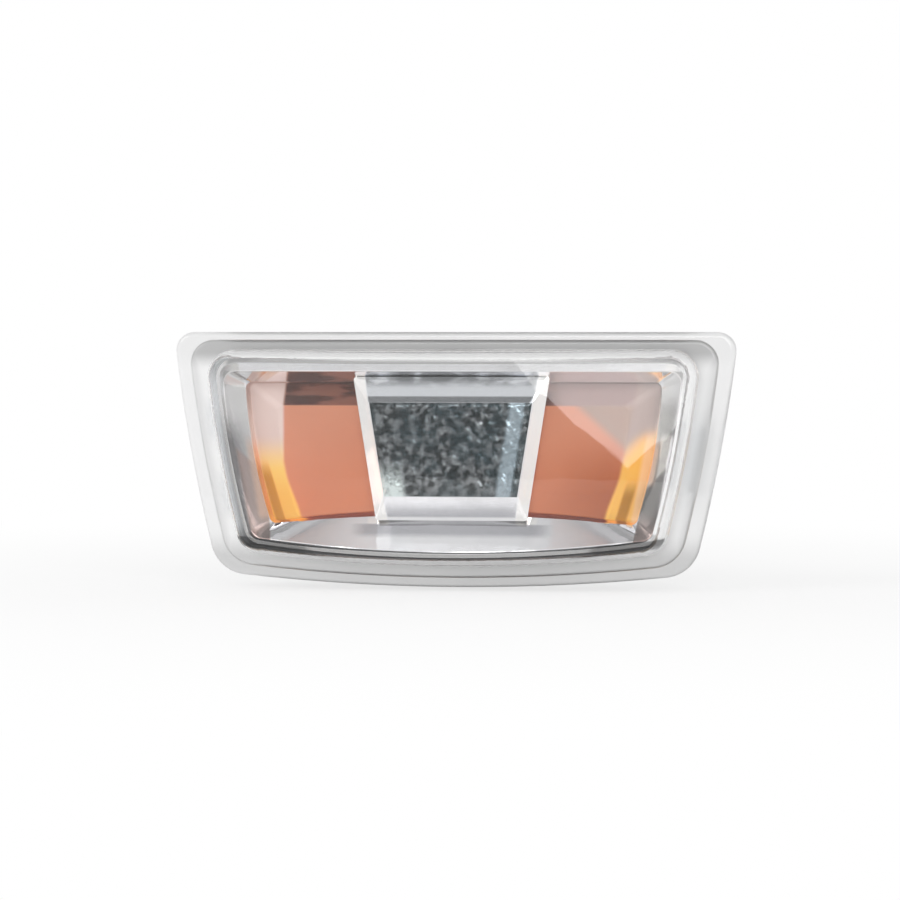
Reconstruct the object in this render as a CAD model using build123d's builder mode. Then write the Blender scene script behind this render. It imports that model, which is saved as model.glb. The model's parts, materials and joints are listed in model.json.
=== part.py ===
from build123d import *
import os
from math import cos, radians, sin, tan

# Side repeater lamp in millimetres: X along the lamp, Z up, lens towards -Y.
# The origin is the middle of the seat, the flat back of the lens flange that lies on the body panel.
# A forward distance runs from the seat towards the viewer, a depth from the seat into the car.

# Outline of the lens, seen from the front
lamp_length = 96.8
lamp_height = 43.5
side_lean = 10.5
side_bow = 0.8
bottom_bow = 2.4
rim_top_corner = 3.2
rim_bottom_corner = 6.5
sharp_corner = 0.6

# Stepped rim around the dome
rim_side = 5.2
rim_top = 2.6
rim_bottom = 3.4
lip_rise = 2.2
lip_round = 0.9
step_side = 2.5
step_top = 1.3
step_bottom = 1.7
step_rise = 3.7
step_round = 0.7
step_top_corner = 4.0
step_bottom_corner = 6.0

# Dome
lens_front = 11.0
lens_wall = 1.6
crown_radius = 330.0
dome_draft = 4.0
dome_round = 1.8
dome_inner_edge = 0.6
dome_top_corner = 5.0
dome_bottom_corner = 5.0

# Neck that passes through the panel
neck_step = 0.4
weld_leg = 2.2
part_gap = 0.3

# Stack of inner pieces on the ledge of the housing
ledge_depth = 5.2
ledge_width = 1.5
ledge_thickness = 1.5
reflector_flange = 1.3
amber_flange = 1.3

# Metallised bezel
bezel_front = 5.2
bezel_throat = 2.6
bezel_wall = 1.2
bezel_edge = 0.4
brim_thickness = 0.8
brim_side = 0.5
brim_top = 1.8
brim_bottom = 0.6
mouth_corner = 2.0
mouth_round = 0.3
window_inset_side = 5.8
window_inset_top = 5.9
window_inset_bottom = 5.0
window_arch = 1.6
window_corner = 1.2

# Centre bridge of the bezel
bridge_half = 14.5
bridge_lean = 9.0
bridge_overlap = 0.85
bridge_edge = 1.0
bridge_bevel = 1.3
bridge_corner = 0.5
panel_side_bevel = 2.2
panel_top_bevel = 4.3
panel_bottom_bevel = 4.1

# Amber inner lens
amber_front = 3.0
amber_shoulder = 0.2
amber_wall = 1.5
amber_lean_side = 4.8
amber_lean_top = 4.0
amber_lean_bottom = 1.0
amber_round = 0.3

# Reflector
reflector_wall = 1.2
dish_inset = 6.2
dish_depth = 9.2
dish_floor_half = 15.0

# Housing
tub_wall = 1.5
tub_draft = 2.0
tub_round = 2.0
rear_wall = 2.0
rib_thickness = 1.4
rib_height = 1.8

# Hook end and spring arm
hook_reach = 2.4
hook_thickness = 1.4
hook_ramp = 3.6
hook_width = 6.0
hook_spacing = 13.0
arm_gap = 1.5
arm_thickness = 1.2
arm_width = 12.0
arm_tip_gap = 0.6
arm_nose = 1.3
arm_nose_front = 3.2
arm_nose_back = 4.0
arm_root = 2.0
arm_round = 0.3

# Wedge bulb
bulb_height = 0.5
bulb_radius = 5.0
bulb_length = 24.4
capsule_length = 11.2
shoulder_length = 3.2
glass_wall = 0.6
wedge_width = 9.2
wedge_thickness = 2.3
wedge_grip = 7.6
wire_radius = 0.25
wire_gap = 0.05
wire_spacing = 4.8
wire_bend = 0.6
wire_turn = 0.4
fold_length = 6.0
filament_place = 6.8
filament_rise = 1.2
filament_radius = 0.22

# Bulb holder and its bayonet
bulb_room = 1.0
holder_wall = 1.7
nose_recess = 0.4
bayonet_gap = 0.3
port_gap = 0.6
lug_count = 3
lug_reach = 1.8
lug_width = 4.4
lug_thickness = 1.8
lug_gap = 0.3
lug_room = 0.5
lock_turn = 40.0
stop_width = 1.4
seal_land = 0.85
seal_thickness = 1.6
seal_edge = 0.4
flange_lip = 0.45
flange_thickness = 2.2
collar_gap = 0.5
collar_wall = 1.4
collar_rise = 2.4
body_radius = 8.4
bulb_sink = 7.2
slot_room = 0.3
slot_floor = 1.2
wing_span = 25.0
wing_thickness = 3.2
wing_length = 7.6
wing_round = 1.2
grip_count = 3
grip_pitch = 1.2
grip_width = 0.5
grip_rise = 0.4

# Connector shroud and contacts
socket_length = 13.0
socket_height = 6.8
socket_depth = 10.5
socket_wall = 1.4
socket_floor = 1.2
socket_corner = 1.2
latch_width = 4.0
latch_rise = 1.2
latch_length = 3.0
contact_sheet = 0.6
contact_width = 2.8
contact_lip = 2.6
contact_bow = 2.4
contact_gap = 0.1
blade_pitch = 5.2
blade_length = 8.0

# Places that follow from the sizes
lean = radians(side_lean)
lamp_top = lamp_height / 2
lamp_bottom = bottom_bow - lamp_height / 2
bezel_back = ledge_depth - reflector_flange - amber_flange
mouth_depth = bezel_back + amber_flange
rim_back = ledge_depth + ledge_thickness
rim_wall = lens_wall - neck_step
tub_inset = lens_wall + ledge_width - tub_wall
dish_back = dish_depth + reflector_wall
lug_front = dish_back + lug_room
inner_rear = lug_front + lug_thickness + lug_gap
housing_depth = inner_rear + rear_wall
recess_radius = bulb_radius + bulb_room
holder_radius = recess_radius + holder_wall
bayonet_bore = holder_radius + bayonet_gap
seal_radius = bayonet_bore + lug_reach + lug_gap + seal_land
flange_radius = seal_radius + flange_lip
collar_bore = flange_radius + collar_gap
seal_back = housing_depth + seal_thickness
flange_back = seal_back + flange_thickness
wedge_end = flange_back + bulb_sink
wedge_start = wedge_end - wedge_grip
slot_end = wedge_end + slot_floor
body_back = slot_end + socket_floor
socket_back = body_back + socket_depth
bulb_tip = wedge_end - bulb_length
shoulder_start = bulb_tip + capsule_length
shoulder_end = shoulder_start + shoulder_length
filament_depth = bulb_tip + filament_place
wire_end = wedge_end + wire_turn
fold_offset = wedge_thickness / 2 + wire_radius + wire_gap
contact_offset = fold_offset + wire_radius + wire_gap
bridge_shoulder = amber_front + part_gap + bridge_edge
bridge_front = bridge_shoulder + bridge_bevel
bulb_axis = Axis((0, 0, bulb_height), (0, 1, 0))

# Each edge: inset of its sides, top and bottom from the lamp outline, bow, upper and lower corner
rim_edge = (0.0, 0.0, 0.0, bottom_bow, rim_top_corner, rim_bottom_corner)
step_edge = (step_side, step_top, step_bottom, bottom_bow, step_top_corner, step_bottom_corner)
dome_edge = (rim_side, rim_top, rim_bottom, bottom_bow, dome_top_corner, dome_bottom_corner)
window_side = rim_side + window_inset_side
window_top = rim_top + window_inset_top
window_bottom = rim_bottom + window_inset_bottom
window_edge = (window_side, window_top, window_bottom, -window_arch, window_corner, window_corner)
amber_side = window_side + amber_lean_side
amber_top = window_top + amber_lean_top
amber_bottom = window_bottom + amber_lean_bottom
amber_edge = (amber_side, amber_top, amber_bottom, -window_arch, window_corner, window_corner)
dish_side = rim_side + dish_inset
dish_top = rim_top + dish_inset
dish_bottom = rim_bottom + dish_inset
dish_edge = (dish_side, dish_top, dish_bottom, -window_arch, window_corner, window_corner)
bezel_inset = lens_wall + bezel_front * tan(radians(dome_draft)) + part_gap
mouth_side = rim_side + bezel_inset + brim_side
mouth_top = rim_top + bezel_inset + brim_top
mouth_bottom = rim_bottom + bezel_inset + brim_bottom
mouth_edge = (mouth_side, mouth_top, mouth_bottom, bottom_bow, mouth_corner, mouth_corner)

# The bridge runs from the top wall of the bezel to the crown of its arched bottom wall
bridge_high = lamp_top - window_top + bridge_overlap
bridge_low = lamp_bottom + window_bottom + window_arch - bridge_overlap
panel_high = bridge_high - panel_top_bevel
panel_low = bridge_low + panel_bottom_bevel


def front(distance):
    return Plane.XZ.offset(distance)


def back(distance):
    return Plane(origin=(0, distance, 0), x_dir=(-1, 0, 0), z_dir=(0, 1, 0))


def bulb_plane(depth):
    return Plane(origin=(0, depth, bulb_height), x_dir=(-1, 0, 0), z_dir=(0, 1, 0))


def half_length(height):
    return lamp_length / 2 - (lamp_top - height) * tan(lean)


def outline(plane, edge, inset=0.0):
    side, top, bottom, bow, top_corner, bottom_corner = edge
    high = lamp_top - top - inset
    low = lamp_bottom + bottom + inset
    high_x = half_length(high) - (side + inset) / cos(lean)
    low_x = half_length(low) - (side + inset) / cos(lean)
    middle_x = (high_x + low_x) / 2 + side_bow
    middle = (high + low) / 2
    with BuildSketch(plane) as shape:
        with BuildLine():
            Line((-high_x, high), (high_x, high))
            ThreePointArc((high_x, high), (middle_x, middle), (low_x, low))
            ThreePointArc((low_x, low), (0, low - bow), (-low_x, low))
            ThreePointArc((-low_x, low), (-middle_x, middle), (-high_x, high))
        make_face()
        fillet(shape.vertices().sort_by(Axis.Y)[-2:], max(top_corner - inset, sharp_corner))
        fillet(shape.vertices().sort_by(Axis.Y)[:2], max(bottom_corner - inset, sharp_corner))
    return shape.sketch


def bridge_outline(plane, high, low, half):
    slope = tan(radians(bridge_lean))
    with BuildSketch(plane) as shape:
        with BuildLine():
            Polyline(
                (-half - high * slope, high),
                (half + high * slope, high),
                (half + low * slope, low),
                (-half - low * slope, low),
                close=True,
            )
        make_face()
        fillet(shape.vertices(), bridge_corner)
    return shape.sketch


def trough(thickness):
    half = half_length(lamp_top - dish_top) - dish_side / cos(lean)
    with BuildSketch(Plane.XY) as shape:
        with BuildLine():
            Line((-dish_floor_half, dish_depth), (dish_floor_half, dish_depth))
            TangentArc((dish_floor_half, dish_depth), (half, mouth_depth), tangent=(1, 0))
            TangentArc((-dish_floor_half, dish_depth), (-half, mouth_depth), tangent=(-1, 0))
            Line((half, mouth_depth), (-half, mouth_depth))
        make_face()
        if thickness:
            offset(amount=thickness)
    return shape.sketch


def end_plane(side, along):
    reach = half_length(0) + side_bow - (rim_side + neck_step) / cos(lean)
    origin = (side * (reach + along * sin(lean)), 0, along * cos(lean))
    outward = (side * cos(lean), 0, -sin(lean))
    return Plane(origin=origin, x_dir=outward, z_dir=(sin(lean), 0, side * cos(lean)))


def contact_profile(side):
    rest = blade_pitch / 2
    bump = contact_offset + contact_sheet / 2
    half = contact_sheet / 2
    tip = body_back + blade_length
    bump_depth = wedge_end - fold_length / 2
    with BuildSketch(Plane.XY.offset(bulb_height)) as shape:
        with BuildLine():
            Polyline(
                (side * (rest - half), tip),
                (side * (rest - half), bump_depth + contact_bow),
                (side * (bump - half), bump_depth),
                (side * (rest - half), bump_depth - contact_lip),
                (side * (rest + half), bump_depth - contact_lip),
                (side * (bump + half), bump_depth),
                (side * (rest + half), bump_depth + contact_bow),
                (side * (rest + half), tip),
                close=True,
            )
        make_face()
    return shape.sketch


# Lens: the dome is a drafted prism cut by a large sphere, with a rounded front edge
with BuildPart() as dome:
    extrude(outline(front(0), dome_edge), amount=lens_front, taper=dome_draft)
    with Locations((0, crown_radius - lens_front, 0)):
        Sphere(crown_radius, mode=Mode.INTERSECT)
    fillet(dome.faces().sort_by(Axis.Y)[0].edges(), dome_round)

with BuildPart() as step:
    extrude(outline(front(0), step_edge), amount=step_rise)
    fillet(step.faces().sort_by(Axis.Y)[0].edges(), step_round)

with BuildPart() as lens_cavity:
    extrude(outline(front(0), dome_edge, lens_wall), amount=lens_front, taper=dome_draft)
    with Locations((0, crown_radius - lens_front, 0)):
        Sphere(crown_radius - lens_wall, mode=Mode.INTERSECT)
    chamfer(lens_cavity.faces().sort_by(Axis.Y)[0].edges(), dome_inner_edge)
    extrude(outline(front(-weld_leg), dome_edge, lens_wall), amount=weld_leg)

with BuildPart() as lens:
    extrude(outline(front(0), rim_edge), amount=lip_rise)
    fillet(lens.faces().sort_by(Axis.Y)[0].edges(), lip_round)
    add(step.part)
    add(dome.part)
    extrude(outline(front(-weld_leg), dome_edge, neck_step), amount=weld_leg)
    add(lens_cavity.part, mode=Mode.SUBTRACT)

# Amber inner lens: a hollow cap on a flat flange, with slanted walls between its shoulder and its face
amber_seat = front(-bezel_back)
with BuildPart() as amber_cap:
    extrude(outline(amber_seat, window_edge, part_gap), amount=bezel_back + amber_shoulder)
    loft([outline(front(amber_shoulder), window_edge, part_gap), outline(front(amber_front), amber_edge)], ruled=True)
    fillet(amber_cap.faces().sort_by(Axis.Y)[0].edges(), amber_round)

with BuildPart() as amber_hollow:
    hollow_shoulder = front(amber_shoulder - amber_wall)
    extrude(
        outline(front(-mouth_depth), window_edge, part_gap + amber_wall),
        amount=mouth_depth + amber_shoulder - amber_wall,
    )
    loft(
        [
            outline(hollow_shoulder, window_edge, part_gap + amber_wall),
            outline(front(amber_front - amber_wall), amber_edge, amber_wall),
        ],
        ruled=True,
    )

with BuildPart() as amber_lens:
    extrude(outline(amber_seat, dome_edge, lens_wall + part_gap), amount=-amber_flange)
    add(amber_cap.part)
    add(amber_hollow.part, mode=Mode.SUBTRACT)

# Bezel: a funnel from the lens wall down to the amber cap, crossed by a bevelled bridge
with BuildPart() as bridge:
    extrude(
        bridge_outline(amber_seat, bridge_high, bridge_low, bridge_half),
        amount=bezel_back + bridge_shoulder,
    )
    loft(
        [
            bridge_outline(front(bridge_shoulder), bridge_high, bridge_low, bridge_half),
            bridge_outline(front(bridge_front), panel_high, panel_low, bridge_half - panel_side_bevel),
        ],
        ruled=True,
    )
    extrude(outline(amber_seat, window_edge), amount=bezel_back + amber_shoulder, mode=Mode.SUBTRACT)
    loft(
        [
            outline(front(amber_shoulder), window_edge),
            outline(front(amber_front + part_gap), amber_edge, -part_gap),
        ],
        ruled=True,
        mode=Mode.SUBTRACT,
    )

with BuildPart() as funnel_hollow:
    extrude(outline(amber_seat, window_edge), amount=bezel_back + bezel_throat)
    loft([outline(front(bezel_throat), window_edge), outline(front(bezel_front), mouth_edge)], ruled=True)

with BuildPart() as bezel:
    extrude(outline(amber_seat, window_edge, -bezel_wall), amount=bezel_back + bezel_throat - bezel_wall)
    loft(
        [
            outline(front(bezel_throat - bezel_wall), window_edge, -bezel_wall),
            outline(front(bezel_front), mouth_edge, -bezel_edge),
        ],
        ruled=True,
    )
    extrude(outline(front(bezel_front - brim_thickness), dome_edge, bezel_inset), amount=brim_thickness)
    add(funnel_hollow.part, mode=Mode.SUBTRACT)
    fillet(bezel.faces().sort_by(Axis.Y)[0].inner_wires()[0].edges(), mouth_round)
    add(bridge.part)

# Reflector: a flat flange with a scooped trough and the port for the bulb
with BuildPart() as dish_hollow:
    extrude(outline(back(mouth_depth), dish_edge), amount=dish_depth)
    extrude(trough(0), amount=lamp_height, both=True, mode=Mode.INTERSECT)

with BuildPart() as reflector:
    extrude(outline(back(mouth_depth), dish_edge, -reflector_wall), amount=dish_depth)
    extrude(trough(reflector_wall), amount=lamp_height, both=True, mode=Mode.INTERSECT)
    extrude(outline(back(mouth_depth), dome_edge, lens_wall + part_gap), amount=reflector_flange)
    add(dish_hollow.part, mode=Mode.SUBTRACT)
    with BuildSketch(bulb_plane(mouth_depth)) as reflector_port:
        Circle(holder_radius + port_gap)
    extrude(amount=dish_depth, mode=Mode.SUBTRACT)

# Housing: a rim that carries the weld and the ledge, a drafted tub and the bayonet port
with BuildPart() as tub:
    extrude(outline(back(rim_back), dome_edge, tub_inset), amount=housing_depth - rim_back, taper=tub_draft)
    fillet(tub.faces().sort_by(Axis.Y)[-1].edges(), tub_round)

cavity_taper = (inner_rear - ledge_depth) * tan(radians(tub_draft))
with BuildPart() as housing:
    extrude(outline(front(-rim_back), dome_edge, neck_step), amount=rim_back - weld_leg)
    add(tub.part)
    extrude(outline(front(-ledge_depth), dome_edge, lens_wall), amount=ledge_depth - weld_leg, mode=Mode.SUBTRACT)
    loft(
        [
            outline(front(-ledge_depth), dome_edge, lens_wall + ledge_width),
            outline(front(-inner_rear), dome_edge, lens_wall + ledge_width + cavity_taper),
        ],
        ruled=True,
        mode=Mode.SUBTRACT,
    )
    with BuildSketch(bulb_plane(inner_rear)) as port:
        Circle(bayonet_bore)
        with PolarLocations(bayonet_bore, lug_count, start_angle=90 + lock_turn):
            Rectangle(2 * (lug_reach + lug_gap), lug_width + 2 * lug_gap)
    extrude(amount=rear_wall, mode=Mode.SUBTRACT)
    with BuildSketch(bulb_plane(inner_rear)) as stops:
        with PolarLocations(bayonet_bore + lug_reach / 2 + lug_gap, lug_count, start_angle=90):
            with Locations((0, -lug_width / 2 - lug_gap - stop_width / 2)):
                Rectangle(lug_reach, stop_width)
    extrude(amount=-lug_thickness)
    with BuildSketch(bulb_plane(housing_depth)) as ribs:
        rib_half = half_length(bulb_height) - rim_side - tub_inset - 2 * tub_round
        Rectangle(2 * rib_half, rib_thickness)
        Circle(collar_bore + collar_wall / 2, mode=Mode.SUBTRACT)
    extrude(amount=rib_height)
    with BuildSketch(bulb_plane(housing_depth)) as collar:
        Circle(collar_bore + collar_wall)
        Circle(collar_bore, mode=Mode.SUBTRACT)
    extrude(amount=collar_rise)
    for along in (bulb_height - hook_spacing / 2, bulb_height + hook_spacing / 2):
        with BuildSketch(end_plane(-1, along)) as hook:
            with BuildLine():
                Polyline(
                    (-rim_wall / 2, weld_leg),
                    (hook_reach, weld_leg),
                    (hook_reach, weld_leg + hook_thickness),
                    (0, weld_leg + hook_ramp),
                    (-rim_wall / 2, weld_leg + hook_ramp),
                    close=True,
                )
            make_face()
        extrude(amount=hook_width / 2, both=True)
    arm_outer = arm_gap + arm_thickness
    arm_tip = weld_leg + arm_tip_gap
    root_sink = tub_inset - neck_step + tub_wall / 2
    with BuildSketch(end_plane(1, bulb_height)) as arm:
        with BuildLine():
            FilletPolyline(
                (-root_sink, inner_rear),
                (arm_outer, inner_rear),
                (arm_outer, arm_tip + arm_nose_front + arm_nose_back),
                (arm_outer + arm_nose, arm_tip + arm_nose_front),
                (arm_outer, arm_tip),
                (arm_gap, arm_tip),
                (arm_gap, inner_rear - arm_root),
                (-root_sink, inner_rear - arm_root),
                radius=arm_round,
                close=True,
            )
        make_face()
    extrude(amount=arm_width / 2, both=True)

# Bulb holder: a turned body with lugs, flange, grip wings and connector shroud
with BuildPart() as bulb_holder:
    with BuildSketch(Plane.XY.offset(bulb_height)) as turned:
        with BuildLine():
            Polyline(
                (0, dish_depth + nose_recess),
                (holder_radius, dish_depth + nose_recess),
                (holder_radius, seal_back),
                (flange_radius, seal_back),
                (flange_radius, flange_back),
                (body_radius, flange_back),
                (body_radius, body_back),
                (0, body_back),
                close=True,
            )
        make_face()
    revolve(axis=bulb_axis)
    with BuildSketch(bulb_plane(lug_front)) as lugs:
        with PolarLocations(holder_radius, lug_count, start_angle=90):
            Rectangle(2 * lug_reach, lug_width)
    extrude(amount=lug_thickness)
    with BuildSketch(bulb_plane(flange_back)) as wings:
        RectangleRounded(wing_span, wing_thickness, wing_round)
        wing_middle = (wing_span / 2 + body_radius) / 2
        with GridLocations(2 * wing_middle, 0, 2, 1):
            with GridLocations(grip_pitch, 0, grip_count, 1):
                Rectangle(grip_width, wing_thickness + 2 * grip_rise)
    extrude(amount=wing_length)
    with BuildSketch(bulb_plane(body_back)) as shroud:
        RectangleRounded(
            socket_length + 2 * socket_wall,
            socket_height + 2 * socket_wall,
            socket_corner + socket_wall,
        )
        RectangleRounded(socket_length, socket_height, socket_corner, mode=Mode.SUBTRACT)
    extrude(amount=socket_depth)
    with BuildSketch(Plane.YZ) as latch:
        latch_foot = bulb_height + socket_height / 2 + socket_wall / 2
        latch_top = bulb_height + socket_height / 2 + socket_wall + latch_rise
        with BuildLine():
            Polyline(
                (socket_back - latch_length, latch_foot),
                (socket_back - latch_length, latch_top),
                (socket_back - latch_length / 2, latch_top),
                (socket_back, latch_foot),
                close=True,
            )
        make_face()
    extrude(amount=latch_width / 2, both=True)
    with BuildSketch(bulb_plane(dish_depth + nose_recess)) as recess:
        Circle(recess_radius)
    extrude(amount=wedge_start - dish_depth - nose_recess, mode=Mode.SUBTRACT)
    with BuildSketch(bulb_plane(wedge_start)) as slot:
        Rectangle(blade_pitch + contact_sheet + 2 * contact_gap, wedge_width + 2 * slot_room)
    extrude(amount=slot_end - wedge_start, mode=Mode.SUBTRACT)
    with BuildSketch(bulb_plane(slot_end)) as slits:
        with Locations((-blade_pitch / 2, 0), (blade_pitch / 2, 0)):
            Rectangle(contact_sheet + 2 * contact_gap, contact_width + 2 * contact_gap)
    extrude(amount=socket_floor, mode=Mode.SUBTRACT)

# Rubber ring between the holder's flange and the rear wall of the housing
with BuildPart() as holder_seal:
    with BuildSketch(bulb_plane(housing_depth)) as ring:
        Circle(seal_radius)
        Circle(holder_radius + wire_gap, mode=Mode.SUBTRACT)
    extrude(amount=seal_thickness)
    chamfer(holder_seal.edges().filter_by(GeomType.CIRCLE).sort_by(SortBy.RADIUS)[-2:], seal_edge)

# Contacts: sprung strips that press on the folded wires and end as blades in the connector
with BuildPart() as contact_left:
    extrude(contact_profile(-1), amount=contact_width / 2, both=True)

with BuildPart() as contact_right:
    extrude(contact_profile(1), amount=contact_width / 2, both=True)

# Wedge bulb: a blown glass capsule pinched to a flat base
pinch_start = shoulder_start + shoulder_length / 4
inner_radius = bulb_radius - glass_wall
with BuildPart() as bulb_glass:
    with BuildSketch(Plane.XY.offset(bulb_height)) as capsule:
        with BuildLine():
            RadiusArc((0, bulb_tip), (bulb_radius, bulb_tip + bulb_radius), -bulb_radius)
            Polyline(
                (bulb_radius, bulb_tip + bulb_radius),
                (bulb_radius, shoulder_start),
                (wedge_thickness, shoulder_end),
                (0, shoulder_end),
                (0, bulb_tip),
            )
        make_face()
    revolve(axis=bulb_axis)
    with BuildSketch(bulb_plane(pinch_start)) as wedge:
        RectangleRounded(wedge_thickness, wedge_width, wedge_thickness / 3)
    extrude(amount=wedge_end - pinch_start)
    with BuildSketch(Plane.XY.offset(bulb_height)) as hollow:
        with BuildLine():
            RadiusArc((0, bulb_tip + glass_wall), (inner_radius, bulb_tip + bulb_radius), -inner_radius)
            Polyline(
                (inner_radius, bulb_tip + bulb_radius),
                (inner_radius, shoulder_start),
                (inner_radius / 2, pinch_start),
                (0, pinch_start),
                (0, bulb_tip + glass_wall),
            )
        make_face()
    revolve(axis=bulb_axis, mode=Mode.SUBTRACT)
    with BuildSketch(bulb_plane(shoulder_start)) as bores:
        with Locations((0, -wire_spacing / 2), (0, wire_spacing / 2)):
            Circle(wire_radius + wire_gap)
    extrude(amount=wedge_end - shoulder_start, mode=Mode.SUBTRACT)

# Lead wires: up through the pinch, and folded back along the two faces of the wedge
with BuildPart() as bulb_leads:
    for side in (-1, 1):
        with BuildLine(Plane.XY.offset(bulb_height + side * wire_spacing / 2)) as wire:
            FilletPolyline(
                (side * fold_offset, wedge_end - fold_length),
                (side * fold_offset, wire_end),
                (0, wire_end),
                (0, filament_depth + filament_radius + wire_gap),
                radius=wire_bend,
            )
        with BuildSketch(Plane(origin=wire.line @ 0, z_dir=wire.line % 0)) as wire_section:
            Circle(wire_radius)
        sweep()

with BuildPart() as bulb_filament:
    with BuildLine(Plane.YZ) as coil:
        ThreePointArc(
            (filament_depth, bulb_height - wire_spacing / 2),
            (filament_depth - filament_rise, bulb_height),
            (filament_depth, bulb_height + wire_spacing / 2),
        )
    with BuildSketch(Plane(origin=coil.line @ 0, z_dir=coil.line % 0)) as coil_section:
        Circle(filament_radius)
    sweep()

os.makedirs("parts", exist_ok=True)

lens.part.label = "lens"
export_step(lens.part, "parts/lens.step")
bezel.part.label = "bezel"
export_step(bezel.part, "parts/bezel.step")
amber_lens.part.label = "amber_lens"
export_step(amber_lens.part, "parts/amber_lens.step")
reflector.part.label = "reflector"
export_step(reflector.part, "parts/reflector.step")
housing.part.label = "housing"
export_step(housing.part, "parts/housing.step")
bulb_holder.part.label = "bulb_holder"
export_step(bulb_holder.part, "parts/bulb_holder.step")
holder_seal.part.label = "holder_seal"
export_step(holder_seal.part, "parts/holder_seal.step")
contact_left.part.label = "contact_left"
export_step(contact_left.part, "parts/contact_left.step")
contact_right.part.label = "contact_right"
export_step(contact_right.part, "parts/contact_right.step")
bulb_glass.part.label = "bulb_glass"
export_step(bulb_glass.part, "parts/bulb_glass.step")
bulb_leads.part.label = "bulb_leads"
export_step(bulb_leads.part, "parts/bulb_leads.step")
bulb_filament.part.label = "bulb_filament"
export_step(bulb_filament.part, "parts/bulb_filament.step")
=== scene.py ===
import json
import math
import bpy
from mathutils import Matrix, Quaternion, Vector

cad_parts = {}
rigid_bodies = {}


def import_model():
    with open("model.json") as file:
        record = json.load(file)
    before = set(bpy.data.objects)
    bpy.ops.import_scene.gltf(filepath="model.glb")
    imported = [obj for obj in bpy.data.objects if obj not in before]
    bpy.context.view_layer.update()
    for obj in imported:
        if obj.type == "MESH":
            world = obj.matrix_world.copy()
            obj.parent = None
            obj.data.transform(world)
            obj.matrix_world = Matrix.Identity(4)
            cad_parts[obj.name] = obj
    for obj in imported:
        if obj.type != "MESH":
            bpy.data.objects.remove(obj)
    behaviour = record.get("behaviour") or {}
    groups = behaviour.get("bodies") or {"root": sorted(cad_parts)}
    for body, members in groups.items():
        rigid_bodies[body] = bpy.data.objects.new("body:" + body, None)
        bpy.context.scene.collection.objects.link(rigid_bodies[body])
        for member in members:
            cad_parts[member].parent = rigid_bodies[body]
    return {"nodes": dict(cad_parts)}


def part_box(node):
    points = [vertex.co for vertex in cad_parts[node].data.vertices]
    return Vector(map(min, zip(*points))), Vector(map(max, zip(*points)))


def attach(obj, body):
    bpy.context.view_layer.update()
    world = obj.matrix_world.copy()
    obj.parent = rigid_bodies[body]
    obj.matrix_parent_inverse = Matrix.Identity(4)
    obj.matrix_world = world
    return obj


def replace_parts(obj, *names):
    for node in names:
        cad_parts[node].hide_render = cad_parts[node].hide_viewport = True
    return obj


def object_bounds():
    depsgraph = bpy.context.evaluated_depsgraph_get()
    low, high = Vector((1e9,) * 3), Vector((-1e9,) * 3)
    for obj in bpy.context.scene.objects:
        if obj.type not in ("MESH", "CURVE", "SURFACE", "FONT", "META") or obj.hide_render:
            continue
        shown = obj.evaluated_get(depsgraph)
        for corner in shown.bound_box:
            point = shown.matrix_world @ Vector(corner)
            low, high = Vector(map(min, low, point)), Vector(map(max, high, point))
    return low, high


for leftover in list(bpy.data.objects):      # what a start-up file may hold
    bpy.data.objects.remove(leftover)
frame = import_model()
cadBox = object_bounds()
nodes = frame["nodes"]
print("stage: frame loaded,", len(nodes), "nodes")

mm = 0.001

# lines of the shape that the finishes follow, in millimetres
endSlope = 0.185                                  # the ends lean outwards by this share of the height
flankSlope = 0.16                                 # and so do the bridge's sides
bow = 0.0021                                      # the lower walls rise with X * X
crown = 0.001515                                  # the lens's front falls back with the distance squared


# a socket with sums: each sign adds a Math node
class Wire:
    def __init__(self, tree, socket):
        self.tree = tree
        self.socket = socket

    def math(self, operation, *terms):
        node = self.tree.nodes.new("ShaderNodeMath")
        node.operation = operation
        for place, term in enumerate(terms):
            plug(self.tree, node.inputs[place], term)
        return Wire(self.tree, node.outputs[0])

    def __add__(self, other):
        return self.math("ADD", self, other)

    def __radd__(self, other):
        return self.math("ADD", other, self)

    def __sub__(self, other):
        return self.math("SUBTRACT", self, other)

    def __rsub__(self, other):
        return self.math("SUBTRACT", other, self)

    def __mul__(self, other):
        return self.math("MULTIPLY", self, other)

    def __truediv__(self, other):
        return self.math("DIVIDE", self, other)

    def __rtruediv__(self, other):
        return self.math("DIVIDE", other, self)

    def __abs__(self):
        return self.math("ABSOLUTE", self)

    def least(self, other):
        return self.math("MINIMUM", self, other)

    def most(self, other):
        return self.math("MAXIMUM", self, other)


def plug(tree, socket, term):
    if isinstance(term, Wire):
        tree.links.new(term.socket, socket)
    else:
        socket.default_value = term


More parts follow.
